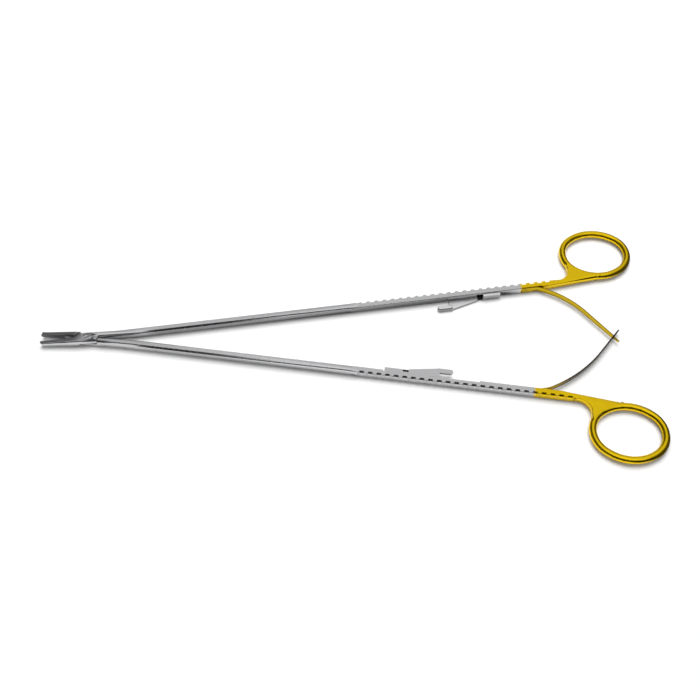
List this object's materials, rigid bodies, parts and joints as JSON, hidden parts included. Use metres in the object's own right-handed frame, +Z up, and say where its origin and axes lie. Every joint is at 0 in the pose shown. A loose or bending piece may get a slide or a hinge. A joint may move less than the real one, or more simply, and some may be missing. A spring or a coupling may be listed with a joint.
{
  "type": "surgical needle holder",
  "caption": "Long slender surgical needle holder, half open, with toothed carbide jaws, notched grips, inner catches, crossed leaf springs and gold-plated finger rings.",
  "frame": {"origin": "on the pivot screw's axis, at the underside that the instrument lies on", "axes": "+X from the jaws to the finger rings along the middle line, +Z up from the surface it lies on, +Y to the upper half's ring"},
  "size_m": [0.2687, 0.121, 0.0043],
  "materials": {
    "satin_steel": "satin stainless steel; the ring end of each arm, from the spring's root on, is gold plated",
    "screw_steel": "satin stainless steel",
    "carbide": "dull sintered tungsten carbide with diamond teeth",
    "gold_plate": "polished gold plate"
  },
  "bodies": {
    "lower_half": {"arm_lower": "satin_steel", "jaw_insert_lower": "carbide", "leaf_spring_lower": "gold_plate", "spring_rivet_lower": "gold_plate", "catch_lever_lower": "satin_steel", "catch_rivet_lower": "satin_steel", "pivot_screw": "screw_steel"},
    "upper_half": {"arm_upper": "satin_steel", "jaw_insert_upper": "carbide", "leaf_spring_upper": "gold_plate", "spring_rivet_upper": "gold_plate", "catch_lever_upper": "satin_steel", "catch_rivet_upper": "satin_steel"}
  },
  "joints": [
    {"name": "jaw_pivot", "type": "hinge", "parent": "lower_half", "child": "upper_half", "pos_m": [0, 0, 0.00215], "axis": [0, 0, -1], "range_deg": [0, 8.1], "stiffness_Nm_per_rad": 1.5, "deforming": ["leaf_spring_upper", "leaf_spring_lower"]}
  ]
}
